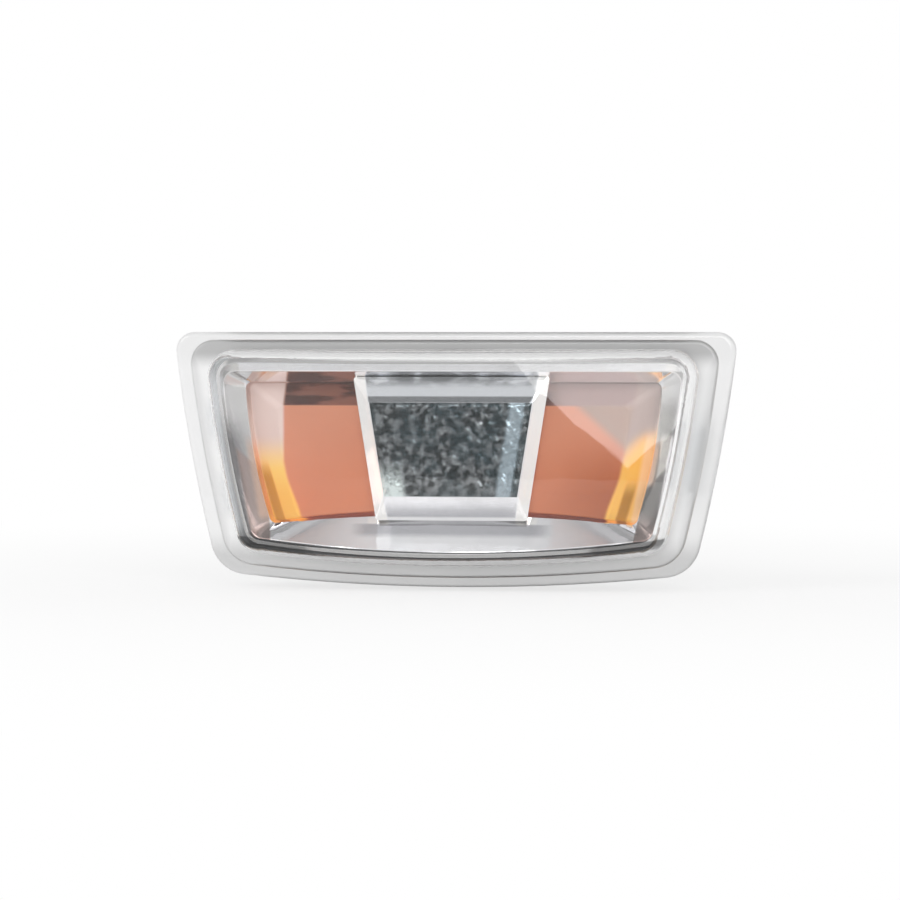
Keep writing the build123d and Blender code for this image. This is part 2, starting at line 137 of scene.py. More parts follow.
# every other node, for finishes and for shapes
class NodeBench:
    def __init__(self, tree):
        self.tree = tree
        tree.nodes.clear()

    def add(self, kind, settings=None, sockets=None, out=0):
        node = self.tree.nodes.new(kind)
        for name, setting in (settings or {}).items():
            setattr(node, name, setting)
        for name, term in (sockets or {}).items():
            plug(self.tree, node.inputs[name], term)
        return Wire(self.tree, node.outputs[out]) if node.outputs else None

    def split(self, vector, axis):
        return self.add("ShaderNodeSeparateXYZ", None, {"Vector": vector}, axis)

    def join(self, x, y, z):
        return self.add("ShaderNodeCombineXYZ", None, {"X": x, "Y": y, "Z": z})

    def spot(self):      # Object coordinates, in metres
        return self.add("ShaderNodeTexCoord", out="Object")

    def place(self, axis):      # one of them, in millimetres
        return self.split(self.spot(), axis) / mm

    def normal(self, axis):
        return self.split(self.add("ShaderNodeNewGeometry", out="Normal"), axis)

    def noise(self, scale, detail=2.0, rough=0.5, stretch=None):
        spot = self.spot()
        if stretch:
            spot = self.add("ShaderNodeMapping", None, {"Vector": spot, "Scale": stretch})
        return self.add("ShaderNodeTexNoise", None,
                        {"Vector": spot, "Scale": scale, "Detail": detail, "Roughness": rough})

    def blend(self, mask, first, second):
        return self.add("ShaderNodeMix", {"data_type": "RGBA"}, {0: mask, 6: first, 7: second}, 2)

    def fade(self, term, low, high, start=0.0, end=1.0):
        return self.add("ShaderNodeMapRange", {"interpolation_type": "SMOOTHSTEP"},
                        {"Value": term, "From Min": low, "From Max": high, "To Min": start, "To Max": end})

    def band(self, term, start, full, last, end):      # none at start, full to last, none at end
        return self.fade(term, start, full) * self.fade(term, end, last)

    def bump(self, height, distance, edge=0.0):      # edge: radius of softened corners
        sockets = {"Height": height, "Distance": distance}
        if edge:
            sockets["Normal"] = self.add("ShaderNodeBevel", {"samples": 6}, {"Radius": edge})
        return self.add("ShaderNodeBump", None, sockets)


def finish(name, build):
    material = bpy.data.materials.new(name)
    material.use_nodes = True
    bench = NodeBench(material.node_tree)
    shader = bench.add("ShaderNodeBsdfPrincipled", None, build(bench))
    bench.add("ShaderNodeOutputMaterial", None, {"Surface": shader})
    return material


# clear lens: polished dome and lip, painted shade on the step, lip, round edges, left-hand end and lower
# wall (darker tints in place of the dark refractions there), and a frosted seat and weld leg behind the
# flange
lensZones = {                                     # in millimetres, for fade (two) or band (four)
    "top": (15.0, 18.5),
    "bottom": (-12.0, -17.0),
    "left": (-20.0, -30.0),
    "seat": (-0.15, -0.03),
    "lip": (-3.3, -3.0),
    "step": (-3.9, -3.75, -3.5, -3.0),
    "side": (-6.9, -6.6, -4.8, -4.3),
    "dome": (-6.4, -6.8),
    "front": (-9.6, -9.9),
    "turned": (0.12, 0.30, 0.88, 0.97),           # share of the normal along Y, on the dome's round edge
    "rim": (3.0, 4.6),
    "sill": (0.0, 0.5, 1.0, 1.5),
    "brink": (-0.6, -0.2, 0.8, 1.2),
    "brinkDepth": (-9.9, -9.5, -7.0, -6.6),
    "jamb": (-2.2, -1.2, -0.1, 1.3),
    "jambFoot": (-15.0, -12.5),
    "jambHead": (11.0, 3.0, 0.25),                # with the share that is left above
}
lensLines = {"lowerWall": -16.75, "frontEnd": 37.5, "endCurve": 0.002}      # the ends curve with Z * Z


def clearAcrylic(bench):
    zone = lensZones
    flow = bench.noise(70.0, 2.0)
    haze = bench.noise(900.0, 3.0)
    along = bench.place("X")
    depth = bench.place("Y")
    height = bench.place("Z")
    top = bench.fade(height, *zone["top"])
    bottom = bench.fade(height, *zone["bottom"])
    seat = bench.fade(depth, *zone["seat"])
    lip = bench.fade(depth, *zone["lip"]) * (1.0 - seat)
    step = bench.band(depth, *zone["step"])
    side = bench.band(depth, *zone["side"])
    edge = bench.band(abs(bench.normal("Y")), *zone["turned"]) * bench.fade(depth, *zone["dome"])
    room = height - lensLines["lowerWall"] - along * along * bow      # above the bowed lower wall
    brink = bench.band(room, *zone["brink"]) * bench.band(depth, *zone["brinkDepth"])
    past = abs(along) - lensLines["frontEnd"] - height * endSlope      # outwards from the flat front
    past = past + height * height * lensLines["endCurve"]
    rim = bench.fade(past, *zone["rim"]).most(top).most(bottom)
    front = bench.fade(depth - (along * along + height * height) * crown, *zone["front"])
    sill = front * bench.band(room, *zone["sill"])
    jamb = front * bench.fade(along, *zone["left"]) * bench.band(past, *zone["jamb"])
    jamb = jamb * bench.fade(height, *zone["jambHead"]) * bench.fade(height, *zone["jambFoot"])
    # painted shade: darker tints that stand in for the lens's dark refractions and reflections in these
    # zones
    paintedShades = (
        (edge * top, 0.30), (edge * bottom, 0.42), (sill, 0.70), (jamb, 0.66), (side, 0.42), (brink, 0.62),
        (lip, 0.05), (lip * top, 0.08), (lip * bottom, 0.42),
        (step * rim, 0.28), (step * top, 0.38), (step * bottom, 0.24),
    )
    tone = 0.93 + flow * 0.04
    for where, share in paintedShades:      # the share of light that each zone takes
        tone = tone - where * share
    tone = tone.most(0.06)
    return {
        "Base Color": bench.join(tone, tone, tone),
        "Roughness": 0.004 + haze * 0.02 + seat * 0.7,
        "IOR": 1.49,
        "Transmission Weight": 1.0,
        "Normal": bench.bump(flow, 0.03 * mm),
    }


# metallised bezel: bright, with greyer end walls and darker lower corners of painted shade, painted
# reflections and shade on its bevels and lower edge, a painted highlight along the bridge's sides and a
# painted reflection of the amber at the throat
bezelZones = {                                    # in millimetres, for fade (two) or band (four)
    "right": (4.0, 16.0),
    "rightEnd": (20.0, 28.0),
    "ledge": (14.9, 15.2),                        # the broad upper brim
    "bridge": (12.6, 12.2),
    "flank": (12.3, 12.7, 15.8, 16.4),
    "flankHeight": (-11.2, -10.8, 14.1, 14.6),
    "upper": (9.7, 9.9, 14.2, 14.5),              # the bevel over the bridge's face
    "upperRim": (12.0, 13.6),
    "lowerRim": (11.0, 10.7),
    "lower": (-9.8, -9.4, -9.2, -6.4),            # and the one below
    "under": (-13.4, -12.2, -11.1, -10.7),
    "underWidth": (18.0, 14.0),
    "wall": (0.0, 0.4, 3.1, 3.7),
    "outward": (0.3, 3.2),
    "lit": (2.0, 8.0),
    "shaded": (13.0, 7.0),
    "brim": (3.1, 3.7),
    "brimHeight": (13.5, 11.5),
    "corner": (0.4, -0.4),
    "tip": (-14.0, -8.0),
    "amberReflection": (2.2, 1.0),
    "amberReflectionHead": (5.0, 1.0),
    "amberReflectionFoot": (-11.0, -9.0),
    "brink": (0.15, -0.15),
}
# apart from plain and bright, these tones are painted light and shade: a highlight on the flank,
# reflections and shade on the ledge, bevel, rims, under side, end walls, corner, tip and brink, and a
# reflection of the amber
bezelTones = {
    "plain": (0.86, 0.86, 0.89, 1),
    "bright": (0.94, 0.94, 0.95, 1),
    "ledge": (0.70, 0.70, 0.71, 1),
    "flank": (1.0, 0.985, 0.97, 1),
    "bevel": (0.66, 0.68, 0.71, 1),
    "rims": (0.22, 0.23, 0.24, 1),
    "under": (0.52, 0.52, 0.55, 1),
    "litLow": (0.42, 0.41, 0.42, 1),
    "litHigh": (0.74, 0.73, 0.73, 1),
    "throat": (0.76, 0.75, 0.74, 1),
    "shadedThroat": (0.50, 0.485, 0.46, 1),
    "shadedMouth": (0.36, 0.35, 0.33, 1),
    "corner": (0.48, 0.38, 0.355, 1),
    "tip": (0.15, 0.145, 0.14, 1),
    "amberReflection": (0.84, 0.57, 0.43, 1),               # painted reflection of the amber at the throat
    "brink": (0.25, 0.25, 0.28, 1),
}
bezelLines = {
    "throatEnd": 33.2,
    "brimMiddle": -1.5,
    "cornerTop": 3.7,                             # where the corner's diagonal meets mouthEnd
    "mouthEnd": 38.6,
    "rightDrop": 2.7,                             # lower by this at the right-hand end
    "amberReflectionLift": 6.0,                             # the blush ends higher by this at the right-hand end
    "lowerEdge": -15.7,
}


def bridgeTone(bench, cloud, along, height):      # the bridge and the plain parts around it
    zone, tone = bezelZones, bezelTones
    blotch = bench.fade(bench.noise(420.0, 2.0, 0.5, (0.5, 1.0, 1.0)), 0.35, 0.60)
    across = abs(along)
    sideways = across - height * flankSlope
    bridge = bench.fade(sideways, *zone["bridge"])
    # painted highlight along the bridge's sides
    flank = bench.band(sideways, *zone["flank"]) * bench.band(height, *zone["flankHeight"])
    # painted reflections: the bevel over the bridge with its blotched dark rims, and darker bands below
    # the bridge
    upper = bridge * bench.band(height, *zone["upper"])
    rims = (bench.fade(height, *zone["upperRim"]) * blotch).most(bench.fade(height, *zone["lowerRim"]))
    lower = bridge * bench.band(height, *zone["lower"])
    under = bench.band(height, *zone["under"]) * bench.fade(across, *zone["underWidth"])
    # painted shade on the right-hand part of the top ledge
    rightLedge = bench.fade(height, *zone["ledge"]) * bench.fade(along, *zone["right"])
    plain = bench.blend(cloud, tone["plain"], tone["bright"])
    plain = bench.blend(rightLedge, plain, tone["ledge"])
    plain = bench.blend(flank, plain, tone["flank"])
    bevelled = bench.blend(upper, plain, bench.blend(rims, tone["bevel"], tone["rims"]))
    return bench.blend(lower.most(under), bevelled, tone["under"])


def endTone(bench, plain, along, height):      # the end walls, over the plain parts
    zone, tone, line = bezelZones, bezelTones, bezelLines
    across = abs(along)
    rightEnd = bench.fade(along, *zone["rightEnd"])
    past = across - line["throatEnd"] - height * endSlope      # from the throat's end towards the mouth
    wall = bench.band(past, *zone["wall"])
    outward = bench.fade(past, *zone["outward"])
    # painted light and shade on the end walls: lighter towards the top, shaded at the right-hand end
    lit = bench.blend(bench.fade(height, *zone["lit"]), tone["litLow"], tone["litHigh"])
    shaded = bench.blend(outward, tone["shadedThroat"], tone["shadedMouth"])
    slope = bench.blend(outward, tone["throat"], lit)
    slope = bench.blend(rightEnd * bench.fade(height, *zone["shaded"]), slope, shaded)
    offMiddle = abs(height - line["brimMiddle"])
    brim = bench.fade(past, *zone["brim"]) * bench.fade(offMiddle, *zone["brimHeight"])
    ends = bench.blend(brim, bench.blend(wall, plain, slope), lit)
    # painted shade in the lower corners, darkest at the right-hand tip
    slant = height - line["cornerTop"] + rightEnd * line["rightDrop"] + line["mouthEnd"] - across
    tip = rightEnd * bench.fade(height, *zone["tip"])
    dark = bench.blend(tip, tone["corner"], tone["tip"])
    ends = bench.blend(bench.fade(slant, *zone["corner"]) * wall, ends, dark)
    # painted reflection of the amber on the throat's walls
    amberReflection = wall * bench.fade(past, *zone["amberReflection"]) * bench.fade(height, *zone["amberReflectionHead"])
    amberReflection = amberReflection * bench.fade(height - rightEnd * line["amberReflectionLift"], *zone["amberReflectionFoot"])
    return bench.blend(amberReflection * 0.8, ends, tone["amberReflection"])


def brightCoat(bench):
    cloud = bench.noise(120.0, 3.0)
    along = bench.place("X")
    height = bench.place("Z")
    ledge = bench.fade(height, *bezelZones["ledge"])
    sides = endTone(bench, bridgeTone(bench, cloud, along, height), along, height)
    # painted shade: a dark line along the mouth's bowed lower edge
    room = height - bezelLines["lowerEdge"] - along * along * bow      # above the mouth's bowed lower edge
    return {
        "Base Color": bench.blend(bench.fade(room, *bezelZones["brink"]), sides, bezelTones["brink"]),
        "Metallic": 1.0,
        "Roughness": 0.03 + cloud * 0.03 + ledge * 0.17,
        "Normal": bench.bump(cloud, 0.04 * mm),
    }


def reflectorCoat(bench):
    cloud = bench.noise(150.0, 3.0)
    return {
        "Base Color": bench.blend(cloud, (0.80, 0.81, 0.83, 1), (0.92, 0.92, 0.92, 1)),
        "Metallic": 1.0,
        "Roughness": 0.06 + cloud * 0.08,
        "Normal": bench.bump(cloud, 0.05 * mm),
    }


# amber filter: salmon face with a painted shade at its right-hand lower part and a painted reflection of
# the key lamp at its upper right, painted glow and highlight streaks on the lower ends, painted
# reflections on the pale upper ends and a brown top wall of painted shade
amberZones = {                                    # in millimetres, for fade (two) or band (four)
    "right": (8.0, 30.0),
    "leftLow": (7.5, 0.8),
    "rightLow": (3.0, -1.5),
    "rightHead": (6.5, 3.0),
    "reach": (-2.0, -10.0),
    "onWall": (-0.06, 0.10),                      # in shares of the wall
    "leftWall": (-28.6, -29.3),
    "peach": (0.82, 1.0),                         # in shares of the wall
    "rosy": (0.84, 0.98),                         # in shares of the wall
    "sunny": (-7.0, 0.0),
    "streak": (0.44, 0.56, 0.80, 0.94),           # in shares of the wall
    "streakHead": (0.5, -3.5),
    "roof": (9.1, 9.4),
    "roofRight": (14.0, 20.0),
    "face": (-9.0, 8.0),
    "rightShade": (7.0, -7.0),
    "lampReflection": (27.2, 30.0),
}
amberLines = {
    "faceEnd": 28.9,
    "wallWidth": 4.9,
    "leftTilt": 0.1,                              # the glow's upper edge on the left
    "rightStart": 28.8,                           # on the right it climbs outwards from here
    "reach": 0.25,                                # the glow widens by this towards the bottom
    "peachShift": 0.25,                           # what the right-hand end adds
    "streakShift": 0.28,                          # what the right-hand end adds
    "streakTilt": 0.025,
    "streakMiddle": -6.0,
    "streakDrop": 3.0,                            # the streak starts lower by this on the right
    "lampReflectionTilt": 0.907,
}
# besides the face and its mottle, these tones are painted light and shade: a darker right-hand face, a
# reflection of the key lamp, pale reflections on the upper ends, glowing and highlight streaks on the
# lower ends, and a shaded top wall
amberTones = {
    "faceLow": (0.98, 0.315, 0.14, 1),
    "faceHigh": (0.93, 0.375, 0.22, 1),
    "rightShade": (0.50, 0.10, 0.01, 1),
    "mottle": (1.0, 0.47, 0.27, 1),
    "lampReflection": (0.54, 0.39, 0.315, 1),
    "paleLeft": (1.0, 0.81, 0.75, 1),
    "paleRight": (0.62, 0.45, 0.40, 1),
    "honey": (1.0, 0.58, 0.11, 1),
    "sunny": (1.0, 0.70, 0.20, 1),
    "peach": (1.0, 0.66, 0.34, 1),
    "streakLeft": (0.68, 0.32, 0.03, 1),
    "streakRight": (0.54, 0.24, 0.0, 1),
    "roofDark": (0.05, 0.010, 0.004, 1),
    "roofLight": (0.32, 0.12, 0.075, 1),
    "roofRight": (0.53, 0.37, 0.35, 1),
}
amberGlowPaint = {                                   # painted glow: emission on the cap's face, ends and top wall, though the cap is no lamp
    "face": (0.14, 0.02, 0.0, 1),
    "roof": (0.07, 0.01, 0.0, 1),
    "softLeft": (0.32, 0.24, 0.215, 1),
    "softRight": (0.06, 0.04, 0.035, 1),
    "rosy": (0.80, 0.66, 0.60, 1),
    "honey": (0.92, 0.46, 0.07, 1),
    "sunny": (1.0, 0.62, 0.14, 1),
    "peach": (0.92, 0.58, 0.27, 1),
    "streakLeft": (0.55, 0.22, 0.0, 1),
    "streakRight": (0.40, 0.16, 0.0, 1),
}


def amberMasks(bench, along, height):
    zone, line = amberZones, amberLines
    across = abs(along)
    right = bench.fade(along, *zone["right"])
    wall = (across - line["faceEnd"] - height * endSlope) / line["wallWidth"]      # 1 at the shoulder
    reach = bench.fade(height, *zone["reach"]) * line["reach"]
    onWall = bench.fade(wall + reach, *zone["onWall"]).most(bench.fade(along, *zone["leftWall"]))
    leftLow = bench.fade(height + across * line["leftTilt"], *zone["leftLow"])
    rightLow = bench.fade(height - (across - line["rightStart"]), *zone["rightLow"])
    rightLow = rightLow * bench.fade(height, *zone["rightHead"])
    lean = wall - (height - line["streakMiddle"]) * line["streakTilt"] + right * line["streakShift"]
    streak = bench.band(lean, *zone["streak"])
    return {
        "right": right,
        "onWall": onWall,
        "low": leftLow * (1.0 - right) + rightLow * right,      # where the painted glow lights the ends
        "peach": bench.fade(wall + right * line["peachShift"], *zone["peach"]),
        "rosy": bench.fade(wall, *zone["rosy"]),
        "sunny": bench.fade(height, *zone["sunny"]) * (1.0 - right),
        "streak": streak * bench.fade(height + right * line["streakDrop"], *zone["streakHead"]),
        "roof": bench.fade(height, *zone["roof"]) * (1.0 - onWall),
        "roofRight": bench.fade(along, *zone["roofRight"]),
        "upward": bench.fade(height, *zone["face"]),
        "rightShade": right * bench.fade(height, *zone["rightShade"]),
        "lampReflection": bench.fade(height + along * line["lampReflectionTilt"], *zone["lampReflection"]),      # painted reflection of the key lamp, above a diagonal
    }


def amberPaint(bench, mask, cloud):
    tone = amberTones
    streaks = bench.noise(260.0, 4.0, 0.6, (0.35, 1.0, 1.6))
    face = bench.blend(mask["upward"], tone["faceLow"], tone["faceHigh"])
    # painted shade on the right-hand lower face
    face = bench.blend(mask["rightShade"], face, tone["rightShade"])
    face = bench.blend(cloud * 0.3, face, tone["mottle"])
    face = bench.blend(mask["lampReflection"], face, tone["lampReflection"])
    # painted reflections on the pale upper ends, painted glow and highlight streaks on the lower ends
    pale = bench.blend(mask["right"], tone["paleLeft"], tone["paleRight"])
    honey = bench.blend(mask["sunny"], tone["honey"], tone["sunny"])
    glow = bench.blend(mask["low"], pale, bench.blend(mask["peach"], honey, tone["peach"]))
    streak = bench.blend(mask["right"], tone["streakLeft"], tone["streakRight"])
    ends = bench.blend(mask["streak"], glow, streak)
    # painted shade on the top wall, mottled, paler at the right-hand end
    roof = bench.blend(bench.fade(streaks, 0.42, 0.60), tone["roofDark"], tone["roofLight"])
    roof = bench.blend(mask["roofRight"], roof, tone["roofRight"])
    return bench.blend(mask["roof"], bench.blend(mask["onWall"], face, ends), roof)


def paintedAmberGlow(bench, mask):
    light = amberGlowPaint
    soft = bench.blend(mask["right"], light["softLeft"], light["softRight"])
    rosy = bench.blend(mask["rosy"], soft, light["rosy"])
    honey = bench.blend(mask["sunny"], light["honey"], light["sunny"])
    glow = bench.blend(mask["peach"], honey, light["peach"])
    streak = bench.blend(mask["right"], light["streakLeft"], light["streakRight"])
    ends = bench.blend(mask["low"], rosy, bench.blend(mask["streak"], glow, streak))
    return bench.blend(mask["roof"], bench.blend(mask["onWall"], light["face"], ends), light["roof"])


def amberFilter(bench):
    cloud = bench.noise(90.0, 3.0)
    mask = amberMasks(bench, bench.place("X"), bench.place("Z"))
    return {
        "Base Color": amberPaint(bench, mask, cloud),
        "Roughness": 0.12 + cloud * 0.08,
        "IOR": 1.55,
        "Specular IOR Level": 0.25,
        "Transmission Weight": 0.12,
        "Emission Color": paintedAmberGlow(bench, mask),
        "Emission Strength": 0.35,
        "Normal": bench.bump(cloud, 0.03 * mm),
    }


# grained housing: what lies behind the clear flange has a painted glow in the emission, standing in for
# the daylight that comes through the lens
housingZones = {                                  # in millimetres, for fade, and slit for band
    "frontal": (-0.15, -0.45),                    # share of the normal along Y
    "frontDepth": (9.0, 8.0),
    "weldLow": (-10.0, -15.0, 1.0, 0.1),          # with the shares at both
    "weldHigh": (12.0, 16.0, 1.0, 0.7),           # with the shares at both
    "behind": (2.3, 2.5),
    "slit": (-0.3, -0.1, 1.6, 1.9),               # between the end wall and the spring arm
    "slitHeight": (6.8, 6.2),
    "slitDepth": (14.3, 13.0),
    "slitFacing": (0.6, 0.3),                     # share of the normal along Y
}
housingLines = {"endWall": 39.5, "armMiddle": 0.5}


def housingPlastic(bench):
    zone = housingZones
    grain = bench.noise(2600.0, 2.0)
    cloud = bench.noise(60.0, 3.0)
    height = bench.place("Z")
    depth = bench.place("Y")
    ahead = bench.normal("Y")
    frontal = bench.fade(ahead, *zone["frontal"]) * bench.fade(depth, *zone["frontDepth"])
    weld = bench.fade(height, *zone["weldLow"]) * bench.fade(height, *zone["weldHigh"])
    behind = bench.fade(depth, *zone["behind"])
    past = bench.place("X") - height * endSlope - housingLines["endWall"]
    offMiddle = abs(height - housingLines["armMiddle"])
    slit = bench.band(past, *zone["slit"]) * bench.fade(offMiddle, *zone["slitHeight"]) * behind
    slit = slit * bench.fade(ahead, *zone["slitFacing"]) * bench.fade(depth, *zone["slitDepth"])
    # painted glow: emission on the weld face, the parts behind it and the slit, though the housing is no
    # lamp
    paintedGlow = (frontal * (weld * (1.0 - behind) + behind * 0.6)).most(slit * 0.8)
    return {
        "Base Color": bench.blend(cloud, (0.56, 0.56, 0.555, 1), (0.63, 0.63, 0.62, 1)),
        "Roughness": 0.42 + grain * 0.16,
        "Emission Color": bench.blend(paintedGlow, (0, 0, 0, 1), (0.95, 0.97, 1.0, 1)),
        "Emission Strength": 0.5,
        "Normal": bench.bump(grain, 0.03 * mm, 0.25 * mm),
    }


def holderPlastic(bench):
    grain = bench.noise(2600.0, 2.0)
    cloud = bench.noise(80.0, 3.0)
    return {
        "Base Color": bench.blend(cloud, (0.018, 0.018, 0.020, 1), (0.034, 0.034, 0.036, 1)),
        "Roughness": 0.34 + grain * 0.2,
        "Normal": bench.bump(grain, 0.03 * mm, 0.2 * mm),
    }


def sealRubber(bench):
    cloud = bench.noise(300.0, 3.0)
    return {
        "Base Color": bench.blend(cloud, (0.030, 0.028, 0.027, 1), (0.065, 0.060, 0.056, 1)),
        "Roughness": 0.62 + cloud * 0.2,
        "Normal": bench.bump(cloud, 0.05 * mm, 0.15 * mm),
    }


def contactBrass(bench):
    lines = bench.noise(700.0, 4.0, 0.6, (1.0, 0.06, 1.0))
    return {
        "Base Color": bench.blend(lines, (0.72, 0.52, 0.22, 1), (0.86, 0.70, 0.38, 1)),
        "Metallic": 1.0,
        "Roughness": 0.22 + lines * 0.18,
        "Normal": bench.bump(lines, 0.02 * mm, 0.06 * mm),
    }


def bulbGlass(bench):
    flow = bench.noise(200.0, 2.0)
    return {
        "Base Color": bench.blend(flow, (0.97, 0.98, 0.98, 1), (0.99, 0.99, 0.99, 1)),
        "Roughness": 0.005 + flow * 0.015,
        "IOR": 1.51,
        "Transmission Weight": 1.0,
        "Normal": bench.bump(flow, 0.03 * mm),
    }


def leadWire(bench):
    cloud = bench.noise(900.0, 3.0)
    return {
        "Base Color": bench.blend(cloud, (0.50, 0.46, 0.40, 1), (0.64, 0.60, 0.54, 1)),
        "Metallic": 1.0,
        "Roughness": 0.25 + cloud * 0.2,
    }


def filamentWire(bench):
    cloud = bench.noise(4000.0, 2.0)
    return {
        "Base Color": bench.blend(cloud, (0.16, 0.16, 0.17, 1), (0.36, 0.36, 0.37, 1)),
        "Metallic": 1.0,
        "Roughness": 0.4 + cloud * 0.2,
    }


finishes = {
    "lens": finish("clearAcrylic", clearAcrylic),
    "bezel": finish("brightCoat", brightCoat),
    "amber_lens": finish("amberFilter", amberFilter),
    "reflector": finish("reflectorCoat", reflectorCoat),
    "housing": finish("housingPlastic", housingPlastic),
    "bulb_holder": finish("holderPlastic", holderPlastic),
    "holder_seal": finish("sealRubber", sealRubber),
    "contact_left": finish("contactBrass", contactBrass),
    "bulb_glass": finish("bulbGlass", bulbGlass),
    "bulb_leads": finish("leadWire", leadWire),
    "bulb_filament": finish("filamentWire", filamentWire),
}
finishes["contact_right"] = finishes["contact_left"]
for name, material in finishes.items():
    nodes[name].material_slots[0].material = material
print("stage: finishes on", len(finishes), "nodes")


# a shape tree with one named input for each size, baked to a plain mesh that rides on a body
def growPiece(name, sizes, build, body):
    kinds = {float: "NodeSocketFloat", int: "NodeSocketInt", bpy.types.Material: "NodeSocketMaterial"}
    tree = bpy.data.node_groups.new(name + "Tree", "GeometryNodeTree")
    tree.interface.new_socket("Geometry", in_out="OUTPUT", socket_type="NodeSocketGeometry")
    bench = NodeBench(tree)
    sockets = {}
    for label, value in sizes.items():
        kind = kinds[type(value)]
        sockets[label] = tree.interface.new_socket(label, in_out="INPUT", socket_type=kind).identifier
    size = {label: bench.add("NodeGroupInput", out=label) for label in sizes}
    whole = bench.add("GeometryNodeRealizeInstances", None, {"Geometry": build(bench, size)})
    painted = bench.add("GeometryNodeSetMaterial", None, {"Geometry": whole, "Material": size["coat"]})
    bench.add("NodeGroupOutput", None, {"Geometry": painted})
    grown = bpy.data.objects.new(name + "Grown", bpy.data.meshes.new(name + "Grown"))
    bpy.context.scene.collection.objects.link(grown)
    modifier = grown.modifiers.new("shape", "NODES")
    modifier.node_group = tree
    for label, value in sizes.items():
        modifier[sockets[label]] = value
    mesh = bpy.data.meshes.new_from_object(grown.evaluated_get(bpy.context.evaluated_depsgraph_get()))
    grown.modifiers.clear()
    bpy.data.objects.remove(grown)
    piece = bpy.data.objects.new(name, mesh)
    bpy.context.scene.collection.objects.link(piece)
    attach(piece, body)
    print("stage:", name, "with", len(mesh.polygons), "faces")
    return piece


# hammered face of the bridge
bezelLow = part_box("bezel")[0]
hammer = {
    "low": -6.1 * mm,
    "high": 9.8 * mm,
    "half": 12.3 * mm,                            # half width at height 0
    "slope": math.tan(math.radians(9.0)),
    "front": -bezelLow[1],                        # the bridge's face
    "rise": 0.24 * mm,
    "border": 0.5 * mm,                           # the bumps fade out over this
    "borderShare": 0.05,                          # what is left of them at the edge
    "cell": 1.5 * mm,
    "cellSmooth": 0.6,
    "ripples": 2.6,                               # to a cell
    "baseShare": 0.25,                            # shares of the rise
    "cellShare": 0.55,
    "rippleShare": 0.35,
    "columns": 150,
    "rows": 96,
}
hammerZones = {                                   # in millimetres from an edge, for band (four) or fade
    "reflectionStreak": (0.8, 1.6, 3.2, 4.2),
    "reflectionPatch": (4.4, 2.8),
    "reflectionPatchHead": (0.5, -5.0),                     # in millimetres of height
}


def hammeredCoat(bench):
    zone = hammerZones
    cloud = bench.noise(700.0, 3.0)
    broad = bench.noise(230.0, 2.0)
    along = bench.place("X")
    height = bench.place("Z")
    half = hammer["half"] / mm + height * hammer["slope"]
    dark = bench.blend(bench.fade(cloud, 0.40, 0.62), (0.018, 0.025, 0.027, 1), (0.235, 0.25, 0.26, 1))
    tinted = bench.blend(bench.fade(broad, 0.35, 0.65) * 0.5, dark, (0.05, 0.085, 0.10, 1))
    # painted reflection: a pale patch near the left-hand edge, lower down
    reflectionPatch = bench.fade(half + along, *zone["reflectionPatch"]) * bench.fade(height, *zone["reflectionPatchHead"])
    reflectionPatch = reflectionPatch * bench.fade(cloud, 0.30, 0.50, 0.5, 1.0)
    tinted = bench.blend(reflectionPatch, tinted, (0.76, 0.84, 0.83, 1))
    # painted reflection: a bluish streak near the right-hand edge
    reflectionStreak = bench.band(half - along, *zone["reflectionStreak"])
    return {
        "Base Color": bench.blend(reflectionStreak * 0.75, tinted, (0.48, 0.58, 0.64, 1)),
        "Metallic": 1.0,
        "Roughness": 0.10 + cloud * 0.14,
    }


hammer["coat"] = finish("hammeredCoat", hammeredCoat)


def buildHammer(bench, size):
    grid = bench.add("GeometryNodeMeshGrid", None, {
        "Size X": 2.0, "Size Y": 1.0, "Vertices X": size["columns"], "Vertices Y": size["rows"]})
    spot = bench.add("GeometryNodeInputPosition")
    along = bench.split(spot, "X")      # from -1 to 1
    upward = bench.split(spot, "Y")      # from -0.5 to 0.5
    tall = size["high"] - size["low"]
    height = size["low"] + (upward + 0.5) * tall
    width = size["half"] + height * size["slope"]
    flat = bench.join(along * width, 0.0, height)
    cells = bench.add("ShaderNodeTexVoronoi", {"feature": "SMOOTH_F1"}, {
        "Vector": flat, "Scale": 1.0 / size["cell"], "Smoothness": size["cellSmooth"], "Randomness": 1.0})
    ripple = bench.add("ShaderNodeTexNoise", None, {
        "Vector": flat, "Scale": size["ripples"] / size["cell"], "Detail": 2.0})
    room = ((1.0 - abs(along)) * width).least((0.5 - abs(upward)) * tall)
    bumps = size["baseShare"] + cells * size["cellShare"] + ripple * size["rippleShare"]
    bumps = bumps * bench.fade(room, 0.0, size["border"], size["borderShare"])
    place = bench.join(along * width, 0.0 - size["front"] - size["rise"] * bumps, height)
    raised = bench.add("GeometryNodeSetPosition", None, {"Geometry": grid, "Position": place})
    return bench.add("GeometryNodeSetShadeSmooth", None, {"Geometry": raised, "Shade Smooth": True})


growPiece("hammeredPanel", hammer, buildHammer, "lamp")

# wound filament in place of the plain arc
filamentLow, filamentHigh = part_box("bulb_filament")
coil = {
    "low": filamentLow[2],
    "span": filamentHigh[2] - filamentLow[2],
    "ends": filamentHigh[1],
    "rise": 1.2 * mm,
    "radius": 0.17 * mm,
    "wire": 0.04 * mm,
    "turns": 32.0,
    "steps": 14,                                  # to a turn
    "sides": 6,                                   # of the wire
    "coat": finishes["bulb_filament"],
}


